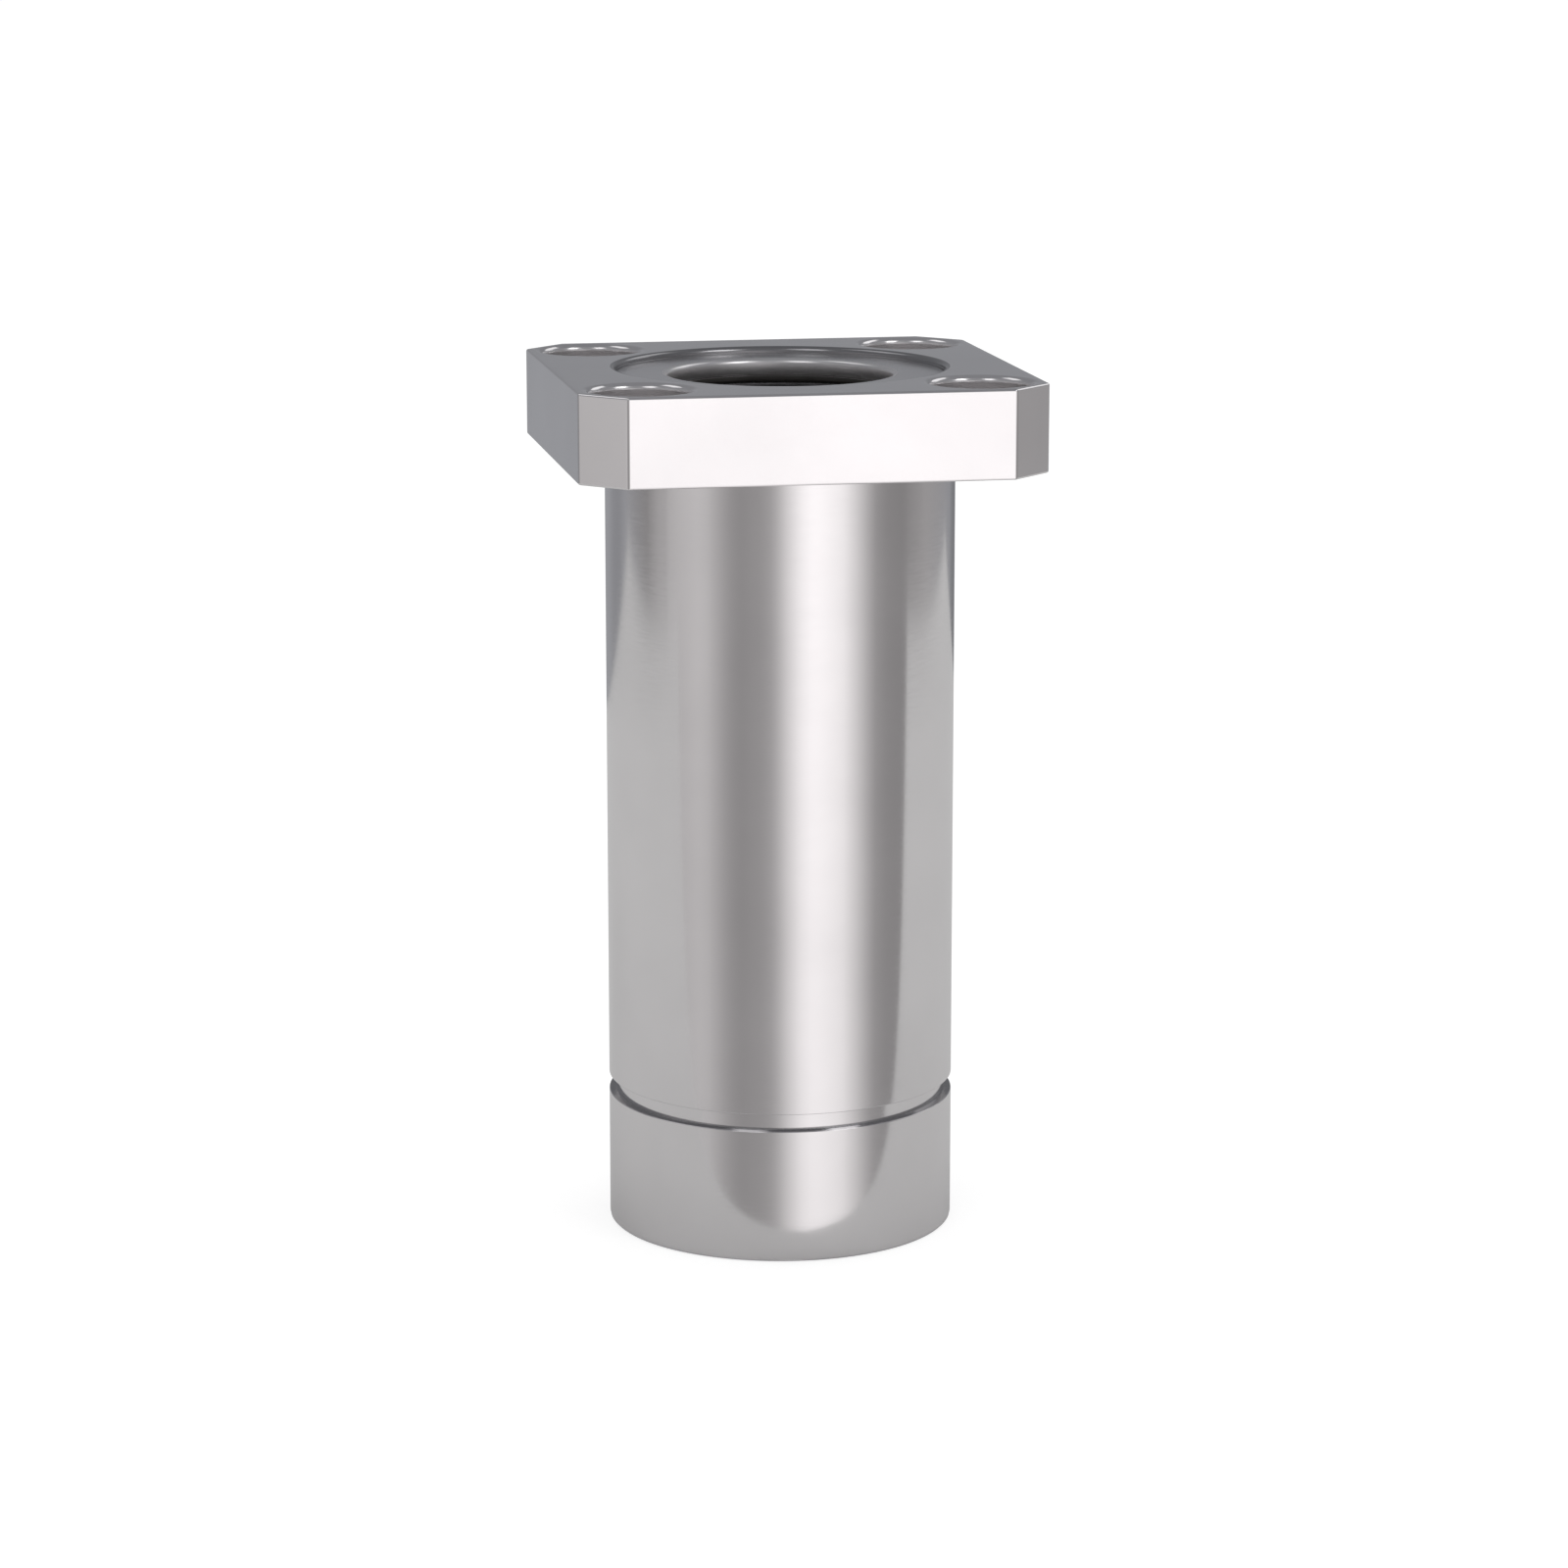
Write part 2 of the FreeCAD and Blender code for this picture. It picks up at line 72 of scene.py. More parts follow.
MM = 0.001
BODY = "root"
ENDS = ("upper", "lower")
CIRCUITS = 5
AXIS = Vector((0, 0))
WHITE = (1, 1, 1, 1)

# What the record and the solids give
MOUNTS = {mount["name"]: mount for mount in frame["record"]["mounts"]}
SHAFT, SPIGOT, BOLTS = (MOUNTS[name]["dims"] for name in ("shaft_bore", "sleeve_spigot", "flange_bolts"))
TOP = CAD_HIGH.z
CASE_LOW, CASE_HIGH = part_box("upper_seal_case")
LIP_LOW, LIP_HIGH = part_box("upper_seal_lip")
RING_LOW, RING_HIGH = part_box("upper_stop_ring")
RETAINER_LOW, RETAINER_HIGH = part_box("upper_retainer")

# Room round a seal's case and a stop ring
CASE_PLAY = 0.02 * MM
RING_PLAY = 0.05 * MM
# Width of the flat ring round a rim, which keeps the rim's rounding off the wide face beside it
APRON = 0.1 * MM
# Points nearer to each other than this are made one
MERGE = 0.0005 * MM
# Faces that meet at more than this have a sharp edge between them
CREASE = math.radians(48)
# Segments of the circles round the bore and of those round a screw
SLEEVE_SEGMENTS = 160
HOLE_SEGMENTS = 64
# Steps in the rounding of a turned corner, of a screw hole's corner and of a flange edge
CORNER_STEPS = 3
HOLE_STEPS = 6
EDGE_STEPS = 3
# Half the angle of a raceway land: three segments of the bore
LAND_SPREAD = 3 * 2 * math.pi / SLEEVE_SEGMENTS

# Where nearly all the values of a noise pattern lie
NOISE_LOW, NOISE_HIGH = 0.3, 0.7
# Cells a metre of the slow change in a steel's tone, and how far the tone goes to each side
UNEVENNESS = (90, 90, 90)
UNEVEN_TONE = 0.03
# Places of the nodes in a material's tree
GRAIN_COLUMNS = (-1100, -900, -700)
FINE_ROW, BROAD_ROW = -300, 200
TONE_PLACE, GLOSS_PLACE, RELIEF_PLACE = (-400, 300), (-400, 0), (-400, -300)
OUTPUT_PLACE = (300, 0)


def length(name, default, description):
    """A size in metres that the sidebar shows as a length."""
    return FloatProperty(name=name, description=description, default=default, precision=5, unit="LENGTH")


def colour(name, default, description):
    """A finish's colour, which the sidebar shows as a swatch."""
    return FloatVectorProperty(
        name=name, description=description, default=default, subtype="COLOR", size=3, min=0, max=1
    )


class ShellSizes(bpy.types.PropertyGroup):
    """Sizes of the outer cylinder: flange, sleeve and stepped bore."""

    flange_width: length("Flange width", CAD_HIGH.x - CAD_LOW.x, "Across two flat sides of the flange")
    flange_top: length("Flange top", TOP, "Height of the flange's outer face")
    flange_seat: length("Flange seat", MOUNTS["flange_seat"]["pos_m"][2], "Height of the flange's underside")
    corner_reach: length("Corner reach", 27 * MM, "From the axis to a cut corner of the flange")
    flange_break: length("Flange break", 0.2 * MM, "Rounding of the flange's edges")
    rim_break: length("Rim break", 0.45 * MM, "Rounding of the rims of the bore and the sleeve")
    head_break: length("Head break", 0.6 * MM, "Rounding of the rims of the screw heads' recesses")
    fine_break: length("Fine break", 0.08 * MM, "Rounding that grinding leaves on the turned corners")
    bolt_circle: length("Bolt circle", BOLTS["pcd_mm"] * MM, "Circle of the screws")
    screw_radius: length("Screw hole", BOLTS["hole_r_mm"] * MM, "Radius of a screw hole")
    head_radius: length("Head recess", 4.5 * MM, "Radius of a screw head's recess")
    head_depth: length("Head depth", 5.1 * MM, "Depth of a screw head's recess")
    sleeve_radius: length("Sleeve", SPIGOT["r_mm"] * MM, "Radius of the ground sleeve")
    groove_start: length("Groove start", 12.3 * MM, "From the free end to the snap ring groove")
    groove_width: length("Groove width", 1.6 * MM, "Width of the snap ring groove")
    groove_depth: length("Groove depth", 0.75 * MM, "Depth of the snap ring groove")
    seat_radius: length("Seal seat", CASE_HIGH.y + CASE_PLAY, "Radius of the bore round a seal")
    seat_depth: length("Seat depth", TOP - CASE_LOW.z, "From an end face to the shoulder under a seal")
    relief_radius: length("Relief", 14.217 * MM, "Radius of the bore behind the returning balls")
    ring_radius: length("Ring groove", RING_HIGH.y + RING_PLAY, "Radius of a stop ring's groove")
    ring_start: length("Ring start", TOP - RING_HIGH.z - RING_PLAY, "From an end face to a ring's groove")
    ring_end: length("Ring end", TOP - RING_LOW.z, "From an end face to the groove's far side")
    raceway_radius: length("Raceway", 13.195 * MM, "Radius of the ground raceway lands")
    land_length: length("Land length", 23.56 * MM, "Length of a raceway land along the bore")


class SealSizes(bpy.types.PropertyGroup):
    """Sizes of a seal: its pressed case and its rubber lip."""

    recess: length("Recess", TOP - CASE_HIGH.z, "How far the case lies below the end face")
    height: length("Height", CASE_HIGH.z - CASE_LOW.z, "Height of the case")
    case_radius: length("Case", CASE_HIGH.y, "Outer radius of the case")
    plate: length("Plate", CASE_HIGH.z - LIP_HIGH.z, "Thickness of the case's plate")
    skirt: length("Skirt", 0.8 * MM, "Thickness of the case's skirt")
    collar_hole: length("Collar hole", 10.3 * MM, "Inner radius of the collar that the plate turns into")
    collar: length("Collar", 0.5 * MM, "Thickness of the collar")
    collar_depth: length("Collar depth", 1.5 * MM, "Depth of the collar from the plate's face")
    mouth_round: length("Mouth round", 0.4 * MM, "Rounding where the plate turns down into the collar")
    press_round: length("Press round", 0.18 * MM, "Rounding of the pressed edges")
    lip_radius: length("Lip", SHAFT["r_mm"] * MM, "Inner radius of the lip")
    lip_gap: length("Lip gap", 0.02 * MM, "Clearance between the rubber and the collar")
    lip_foot: length("Lip foot", TOP - LIP_LOW.z, "From the end face to the underside of the rubber")
    lip_land: length("Lip land", 0.45 * MM, "Length of the straight wiping edge")
    lip_flare: length("Lip flare", 0.3 * MM, "How far the bore widens below the wiping edge")
    pad_radius: length("Pad", LIP_HIGH.y, "Outer radius of the rubber pad under the case")
    mould_round: length("Mould round", 0.08 * MM, "Rounding of the moulded edges")


class Finishes(bpy.types.PropertyGroup):
    """Colours of the finishes."""

    ground_steel: colour("Ground steel", (0.88, 0.86, 0.865), "Flange and sleeve")
    # Seat steel is far darker than the ground steel: painted shade on the seal seats and on the ledge of the
    # snap ring groove.
    shade_dark_seat_steel: colour("Seat steel", (0.36, 0.355, 0.365), "Seats of the seals and ledge of the groove")
    case_steel: colour("Case steel", (0.78, 0.77, 0.78), "Pressed seal cases")
    spring_steel: colour("Spring steel", (0.42, 0.42, 0.44), "Stop rings")
    ball_steel: colour("Ball steel", (0.8, 0.8, 0.81), "Polished balls")
    retainer_resin: colour("Retainer resin", (0.03, 0.029, 0.028), "Moulded ball retainers")
    lip_rubber: colour("Lip rubber", (0.03, 0.028, 0.026), "Seal lips")


class StageSettings(bpy.types.PropertyGroup):
    """Camera, light, floor and the board that the metal mirrors."""

    camera_place: FloatVectorProperty(
        name="Camera place",
        description="Where the camera stands",
        default=(-0.0761, -0.4102, 0.1295),
        size=3,
        subtype="TRANSLATION",
        unit="LENGTH",
    )
    camera_tilt: FloatProperty(
        name="Camera tilt",
        description="How far the camera looks down",
        default=math.radians(11.96),
        subtype="ANGLE",
        unit="ROTATION",
    )
    camera_turn: FloatProperty(
        name="Camera turn",
        description="How far the camera looks to the right",
        default=math.radians(10.56),
        subtype="ANGLE",
        unit="ROTATION",
    )
    camera_lens: FloatProperty(
        name="Lens", description="Focal length on a 36 mm frame", default=105.75, subtype="DISTANCE_CAMERA"
    )
    fill: FloatProperty(
        name="Fill", description="Light from all round on matt surfaces", default=0.75, min=0
    )
    lamp_power: FloatProperty(
        name="Lamp power",
        description="Power of a soft lamp whose share is 1",
        default=0.5,
        min=0,
        unit="POWER",
    )
    lamp_width: length("Lamp width", 0.4, "Width of each soft lamp")
    board_front: length("Board front", 25 * MM, "From the axis to the middle of the board's front edge")
    board_splay: length("Board splay", 37 * MM, "How far the front corners lie before that middle")
    board_back: length("Board back", 0.255, "From the axis to the board's back edge")
    board_width: length("Board width", 0.68, "Width of the white board that the part stands on")
    floor_width: length("Floor width", 12.0, "Size of the pale floor")


def eased(corners, steps=CORNER_STEPS):
    """A path through corners of (radius, height, rounding), each rounded by a short curve of that reach."""
    path = [Vector(corners[0][:2])]
    for before, corner, after in zip(corners, corners[1:], corners[2:]):
        point = Vector(corner[:2])
        reach = corner[2]
        if not reach:
            path.append(point)
            continue
        start = point + (Vector(before[:2]) - point).normalized() * reach
        end = point + (Vector(after[:2]) - point).normalized() * reach
        for step in range(steps + 1):
            share = step / steps
            path.append(start.lerp(point, share).lerp(point.lerp(end, share), share))
    path.append(Vector(corners[-1][:2]))
    return path


def ring(bm, radius, height, centre, segments):
    """A level circle of edges."""
    place = Matrix.Translation((centre.x, centre.y, height))
    verts = bmesh.ops.create_circle(bm, segments=segments, radius=radius, matrix=place)["verts"]
    return list(dict.fromkeys(edge for vert in verts for edge in vert.link_edges))


def walk(bm, rim, path, centre):
    """Carry a circle of edges along a path of radii and heights, and return its last rim."""
    for radius, height in path:
        made = bmesh.ops.extrude_edge_only(bm, edges=rim)["geom"]
        verts = [item for item in made if isinstance(item, bmesh.types.BMVert)]
        fresh = set(verts)
        rim = [
            item
            for item in made
            if isinstance(item, bmesh.types.BMEdge) and fresh.issuperset(item.verts)
        ]
        now = verts[0].co
        share = radius / (now.xy - centre).length
        about = Matrix.Translation((-centre.x, -centre.y, 0))
        rise = (0, 0, height - now.z)
        bmesh.ops.scale(bm, vec=(share, share, 1), space=about, verts=verts)
        bmesh.ops.translate(bm, vec=rise, verts=verts)
    return rim


def turned(bm, corners, segments):
    """A closed section turned about the bore. Its corners are (radius, height, rounding)."""
    around = eased([corners[-1], *corners, corners[0]])[1:-1]
    verts = [bm.verts.new((point.x, 0, point.y)) for point in around]
    edges = [bm.edges.new(pair) for pair in zip(verts, verts[1:] + verts[:1])]
    bmesh.ops.spin(
        bm,
        geom=verts + edges,
        cent=(0, 0, 0),
        axis=(0, 0, 1),
        angle=2 * math.pi,
        steps=segments,
        use_merge=True,
    )


def place_piece(bm, name, materials, nodes):
    """Turn a bmesh into a finished piece that stands for CAD nodes and rides on the part's body."""
    bmesh.ops.remove_doubles(bm, verts=bm.verts[:], dist=MERGE)
    bmesh.ops.recalc_face_normals(bm, faces=bm.faces[:])
    loose = [edge for edge in bm.edges if not edge.is_manifold]
    if loose:
        raise RuntimeError(f"{name} is not closed: {len(loose)} open edges")
    mesh = bpy.data.meshes.new(name)
    bm.to_mesh(mesh)
    bm.free()
    for material in materials:
        mesh.materials.append(material)
    mesh.shade_smooth()
    mesh.set_sharp_from_angle(angle=CREASE)
    piece = bpy.data.objects.new(name, mesh)
    bpy.context.scene.collection.objects.link(piece)
    flats = piece.modifiers.new("true_flats", "WEIGHTED_NORMAL")
    flats.keep_sharp = True
    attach(piece, BODY)
    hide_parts(*nodes)


def paint(node, material):
    """Give a CAD node's object a finish."""
    mesh = frame["nodes"][node].data
    mesh.materials.clear()
    mesh.materials.append(material)


def new_material(name):
    """A material with only a Principled shader, given back with its node tree and that shader."""
    material = bpy.data.materials.new(name)
    material.use_nodes = True
    tree = material.node_tree
    tree.nodes.clear()
    shader = tree.nodes.new("ShaderNodeBsdfPrincipled")
    output = tree.nodes.new("ShaderNodeOutputMaterial")
    output.location = OUTPUT_PLACE
    tree.links.new(shader.outputs["BSDF"], output.inputs["Surface"])
    return material, tree, shader


def grain(tree, name, scale, row, detail):
    """Noise on Object coordinates, with as many cells a metre along each axis as scale says."""
    place = tree.nodes.new("ShaderNodeTexCoord")
    mapping = tree.nodes.new("ShaderNodeMapping")
    noise = tree.nodes.new("ShaderNodeTexNoise")
    noise.label = name
    mapping.inputs["Scale"].default_value = scale
    noise.inputs["Scale"].default_value = 1
    noise.inputs["Detail"].default_value = detail
    tree.links.new(place.outputs["Object"], mapping.inputs["Vector"])
    tree.links.new(mapping.outputs["Vector"], noise.inputs["Vector"])
    for node, column in zip((place, mapping, noise), GRAIN_COLUMNS):
        node.location = (column, row)
    return noise.outputs["Fac"]


def tone(tree, shader, pattern, base, spread):
    """Base colour that wanders a little either side of the finish's own."""
    ramp = tree.nodes.new("ShaderNodeValToRGB")
    ramp.location = TONE_PLACE
    low, high = ramp.color_ramp.elements
    low.position, high.position = NOISE_LOW, NOISE_HIGH
    low.color = (*(part * (1 - spread) for part in base), 1)
    high.color = (*(min(1, part * (1 + spread)) for part in base), 1)
    tree.links.new(pattern, ramp.inputs["Fac"])
    tree.links.new(ramp.outputs["Color"], shader.inputs["Base Color"])


def gloss(tree, shader, pattern, smooth, rough):
    """Roughness that follows a pattern from smooth to rough."""
    reach = tree.nodes.new("ShaderNodeMapRange")
    reach.location = GLOSS_PLACE
    reach.inputs["From Min"].default_value = NOISE_LOW
    reach.inputs["From Max"].default_value = NOISE_HIGH
    reach.inputs["To Min"].default_value = smooth
    reach.inputs["To Max"].default_value = rough
    tree.links.new(pattern, reach.inputs["Value"])
    tree.links.new(reach.outputs["Result"], shader.inputs["Roughness"])


def relief(tree, shader, pattern, height):
    """Bump of a real height, in metres."""
    bump = tree.nodes.new("ShaderNodeBump")
    bump.location = RELIEF_PLACE
    bump.inputs["Strength"].default_value = 1
    bump.inputs["Distance"].default_value = height
    tree.links.new(pattern, bump.inputs["Height"])
    tree.links.new(bump.outputs["Normal"], shader.inputs["Normal"])


def steel(name, base, scratches, height, smooth, rough, metallic=1):
    """Metal with fine scratches and a slow change of tone.

    Scratches are in cells a metre along each axis and have a height. Smooth and rough are the least and most
    roughness, and metallic below 1 leaves the surface a little matt.
    """
    material, tree, shader = new_material(name)
    shader.inputs["Metallic"].default_value = metallic
    fine = grain(tree, "scratches", scratches, FINE_ROW, detail=4)
    broad = grain(tree, "unevenness", UNEVENNESS, BROAD_ROW, detail=3)
    tone(tree, shader, broad, base, UNEVEN_TONE)
    gloss(tree, shader, fine, smooth, rough)
    relief(tree, shader, fine, height)
    return material


def sleeve_steel(finishes):
    """Ground round the sleeve: scratches are long round it and fine along it."""
    look = {"scratches": (600, 600, 6000), "height": 0.00012 * MM, "smooth": 0.1, "rough": 0.15}
    return steel("ground_sleeve_steel", finishes.ground_steel, **look)


def flange_steel(finishes):
    """Ground flat: a fine even grain."""
    look = {"scratches": (5200, 5200, 5200), "height": 0.0002 * MM, "smooth": 0.11, "rough": 0.16}
    return steel("ground_flange_steel", finishes.ground_steel, **look)


def head_steel(finishes):
    """Milled screw head recesses: a satin finish that scatters the light."""
    look = {"scratches": (600, 600, 9000), "height": 0.0002 * MM, "smooth": 0.2, "rough": 0.25}
    return steel("milled_head_steel", finishes.ground_steel, **look, metallic=0.95)


def shade_dark_seat_steel(finishes):
    """Turned seats of the seals and ledge of the groove: a duller even grain, and a base colour far darker
    than the ground steel's, which is painted shade in these recessed places.
    """
    look = {"scratches": (900, 900, 9000), "height": 0.0002 * MM, "smooth": 0.2, "rough": 0.26}
    return steel("turned_seat_steel", finishes.shade_dark_seat_steel, **look)


def case_steel(finishes):
    """Pressed sheet: an even satin grain."""
    look = {"scratches": (3600, 3600, 3600), "height": 0.0003 * MM, "smooth": 0.14, "rough": 0.2}
    return steel("pressed_case_steel", finishes.case_steel, **look)


def collar_steel(finishes):
    """Drawn collar of a case: duller than its plate."""
    look = {"scratches": (600, 600, 9000), "height": 0.0005 * MM, "smooth": 0.28, "rough": 0.34}
    return steel("drawn_collar_steel", finishes.ground_steel, **look)


def spring_steel(finishes):
    """Stop rings: dark and rather rough."""
    look = {"scratches": (900, 900, 6000), "height": 0.001 * MM, "smooth": 0.3, "rough": 0.42}
    return steel("spring_steel", finishes.spring_steel, **look)


def ball_steel(finishes):
    """Lapped and polished: hardly any scratches."""
    look = {"scratches": (5000, 5000, 5000), "height": 0.00005 * MM, "smooth": 0.05, "rough": 0.09}
    return steel("polished_ball_steel", finishes.ball_steel, **look)


def lip_rubber(finishes):
    """Moulded rubber with a faint sheen."""
    material, tree, shader = new_material("moulded_lip_rubber")
    shader.inputs["Specular IOR Level"].default_value = 0.5
    fine = grain(tree, "mould_skin", (4000, 4000, 4000), FINE_ROW, detail=4)
    broad = grain(tree, "bloom", (250, 250, 250), BROAD_ROW, detail=3)
    tone(tree, shader, broad, finishes.lip_rubber, spread=0.25)
    gloss(tree, shader, fine, smooth=0.3, rough=0.45)
    relief(tree, shader, fine, height=0.002 * MM)
    return material


def retainer_resin(finishes):
    """Moulded resin: a fine matt skin with broad flow marks."""
    material, tree, shader = new_material("moulded_retainer_resin")
    shader.inputs["Specular IOR Level"].default_value = 0.2
    fine = grain(tree, "mould_skin", (2500, 2500, 2500), FINE_ROW, detail=4)
    broad = grain(tree, "flow_marks", (160, 160, 60), BROAD_ROW, detail=2)
    tone(tree, shader, broad, finishes.retainer_resin, spread=0.05)
    gloss(tree, shader, fine, smooth=0.5, rough=0.65)
    relief(tree, shader, fine, height=0.002 * MM)
    return material


SHELL_FINISHES = (flange_steel, sleeve_steel, head_steel, shade_dark_seat_steel)
CASE_FINISHES = (case_steel, collar_steel)


def screw_offset(sizes):
    """How far a screw's axis lies from the bore's along each side of the flange."""
    return sizes.bolt_circle / 2 / math.sqrt(2)


def flange_plate(bm, sizes):
    """Make the flange with cut corners, open above and below, and return the rims of the two openings."""
    top, seat = sizes.flange_top, sizes.flange_seat
    plate = Matrix.Diagonal((sizes.flange_width, sizes.flange_width, top - seat, 1))
    plate = Matrix.Translation((0, 0, (top + seat) / 2)) @ plate
    bmesh.ops.create_cube(bm, size=1, matrix=plate)
    cut = sizes.flange_width - sizes.corner_reach * math.sqrt(2)
    uprights = [edge for edge in bm.edges if abs(edge.verts[0].co.z - edge.verts[1].co.z) > sizes.rim_break]
    bevel = {"offset_type": "OFFSET", "profile": 0.5, "affect": "EDGES", "material": -1}
    bmesh.ops.bevel(bm, geom=uprights, offset=cut, segments=1, **bevel)
    bmesh.ops.bevel(bm, geom=bm.edges[:], offset=sizes.flange_break, segments=EDGE_STEPS, **bevel)
    bm.normal_update()
    outer_face = max(bm.faces, key=lambda face: face.calc_center_median().z)
    under_face = min(bm.faces, key=lambda face: face.calc_center_median().z)
    outer_rim, under_rim = list(outer_face.edges), list(under_face.edges)
    bmesh.ops.delete(bm, geom=[outer_face, under_face], context="FACES_ONLY")
    return outer_rim, under_rim


def screw_holes(bm, sizes):
    """Make the four screw holes with their head recesses, and return their rims above and below."""
    top, seat, fine = sizes.flange_top, sizes.flange_seat, sizes.fine_break
    head, screw = sizes.head_radius, sizes.screw_radius
    floor = top - sizes.head_depth
    mouth = head + sizes.head_break + APRON
    hole = eased(
        [
            (mouth, top, 0),
            (head, top, sizes.head_break),
            (head, floor, fine),
            (screw, floor, fine),
            (screw, seat, fine),
            (screw + fine + APRON, seat, 0),
        ],
        steps=HOLE_STEPS,
    )
    offset = screw_offset(sizes)
    outer_rim, under_rim = [], []
    for place in [Vector((x, y)) for x in (-offset, offset) for y in (-offset, offset)]:
        rim = ring(bm, mouth, top, place, HOLE_SEGMENTS)
        outer_rim += rim
        under_rim += walk(bm, rim, hole[1:], place)
    return outer_rim, under_rim


def land_heights(sizes):
    """Where the lower and the upper raceway lands start and end."""
    upper = (RETAINER_LOW.z + RETAINER_HIGH.z) / 2
    half = sizes.land_length / 2
    return [(middle - half, middle + half) for middle in (sizes.flange_top - upper, upper)]


def shell_section(sizes, lands):
    """The cylinder's section, from the flange's underside down the sleeve and up the bore."""
    top, seat = sizes.flange_top, sizes.flange_seat
    brk, fine = sizes.rim_break, sizes.fine_break
    sleeve, groove = sizes.sleeve_radius, sizes.sleeve_radius - sizes.groove_depth
    groove_end = sizes.groove_start + sizes.groove_width
    wide, snap, bore = sizes.relief_radius, sizes.ring_radius, sizes.seat_radius
    outside = [
        (sleeve + fine + APRON, seat, 0),
        (sleeve, seat, fine),
        (sleeve, groove_end, fine),
        (groove, groove_end, fine),
        (groove, sizes.groove_start, fine),
        (sleeve, sizes.groove_start, fine),
        (sleeve, 0, brk),
    ]
    lower_bore = [
        (bore, 0, brk),
        (bore, sizes.seat_depth, fine),
        (wide, sizes.seat_depth, fine),
        (wide, sizes.ring_start, fine),
        (snap, sizes.ring_start, fine),
        (snap, sizes.ring_end, fine),
        (wide, sizes.ring_end, fine),
    ]
    wall = [(wide, height, 0) for pair in lands for height in pair]
    upper_bore = [(radius, top - height, ease) for radius, height, ease in reversed(lower_bore)]
    return eased(outside + lower_bore + wall + upper_bore + [(bore + brk + APRON, top, 0)])


def rise_lands(bm, sizes, heights):
    """Push the bore's wall in to the raceway at each land, between pairs of heights."""
    inward = sizes.relief_radius - sizes.raceway_radius
    for low, high in heights:
        for order in range(CIRCUITS):
            angle = 2 * math.pi * order / CIRCUITS
            out = Vector((math.cos(angle), math.sin(angle), 0))
            faces = []
            for face in bm.faces:
                middle = face.calc_center_median()
                flat = Vector((middle.x, middle.y, 0))
                if not low < middle.z < high or flat.length > sizes.relief_radius:
                    continue
                if flat.angle(out) < LAND_SPREAD:
                    faces.append(face)
            made = bmesh.ops.extrude_face_region(bm, geom=faces)["geom"]
            verts = [item for item in made if isinstance(item, bmesh.types.BMVert)]
            bmesh.ops.delete(bm, geom=faces, context="FACES")
            bmesh.ops.translate(bm, vec=-inward * out, verts=verts)


def finish_faces(bm, sizes):
    """Give each face of the shell the number of its finish."""
    top, seat, fine = sizes.flange_top, sizes.flange_seat, sizes.fine_break
    sleeve, groove = sizes.sleeve_radius, sizes.sleeve_radius - sizes.groove_depth
    mouth = sizes.seat_radius + sizes.rim_break
    offset = screw_offset(sizes)
    for face in bm.faces:
        middle = face.calc_center_median()
        aside = math.hypot(abs(middle.x) - offset, abs(middle.y) - offset)
        reach = middle.xy.length
        in_head = aside < sizes.head_radius + fine and seat + fine / 2 < middle.z < top - fine
        in_seat = reach < mouth - fine and not sizes.seat_depth < middle.z < top - sizes.seat_depth
        on_ledge = groove - fine < reach < sleeve - fine and abs(middle.z - sizes.groove_start) < fine
        if in_head:
            finish = head_steel
        # The seats and the groove's ledge take the dark seat steel: painted shade in these recesses.
        elif in_seat or on_ledge:
            finish = shade_dark_seat_steel
        elif middle.z < seat - fine:
            finish = sleeve_steel
        else:
            finish = flange_steel
        face.material_index = SHELL_FINISHES.index(finish)


class BEARING_OT_shell(bpy.types.Operator):
    """Make the outer cylinder: flange, sleeve and stepped bore in one closed shell"""

    bl_idname = "bearing.shell"
    bl_label = "Outer cylinder"

    def execute(self, context):
        sizes = context.scene.bearing_shell
        finishes = context.scene.bearing_finishes
        top, seat = sizes.flange_top, sizes.flange_seat
        bm = bmesh.new()
        outer_rim, under_rim = flange_plate(bm, sizes)
        outer_holes, under_holes = screw_holes(bm, sizes)
        mouth = ring(bm, sizes.seat_radius + sizes.rim_break + APRON, top, AXIS, SLEEVE_SEGMENTS)
        outer_rim += outer_holes + mouth
        bmesh.ops.triangle_fill(bm, use_beauty=True, edges=outer_rim, normal=(0, 0, 1))
        root = ring(bm, sizes.sleeve_radius + sizes.fine_break + APRON, seat, AXIS, SLEEVE_SEGMENTS)
        under_rim += under_holes + root
        bmesh.ops.triangle_fill(bm, use_beauty=True, edges=under_rim, normal=(0, 0, -1))

        lands = land_heights(sizes)
        walk(bm, root, shell_section(sizes, lands)[1:], AXIS)
        bmesh.ops.remove_doubles(bm, verts=bm.verts[:], dist=MERGE)
        rise_lands(bm, sizes, lands)
        finish_faces(bm, sizes)
        materials = [finish(finishes) for finish in SHELL_FINISHES]
        place_piece(bm, "outer_cylinder_shell", materials, ["outer_cylinder"])
        return {"FINISHED"}


def at_end(bm, end, top):
    """Turn what was made at the upper end over to the lower one, where that is asked for."""
    if end == "lower":
        over = Matrix.Rotation(math.pi, 4, "X")
        bmesh.ops.transform(bm, matrix=Matrix.Translation((0, 0, top)) @ over, verts=bm.verts[:])


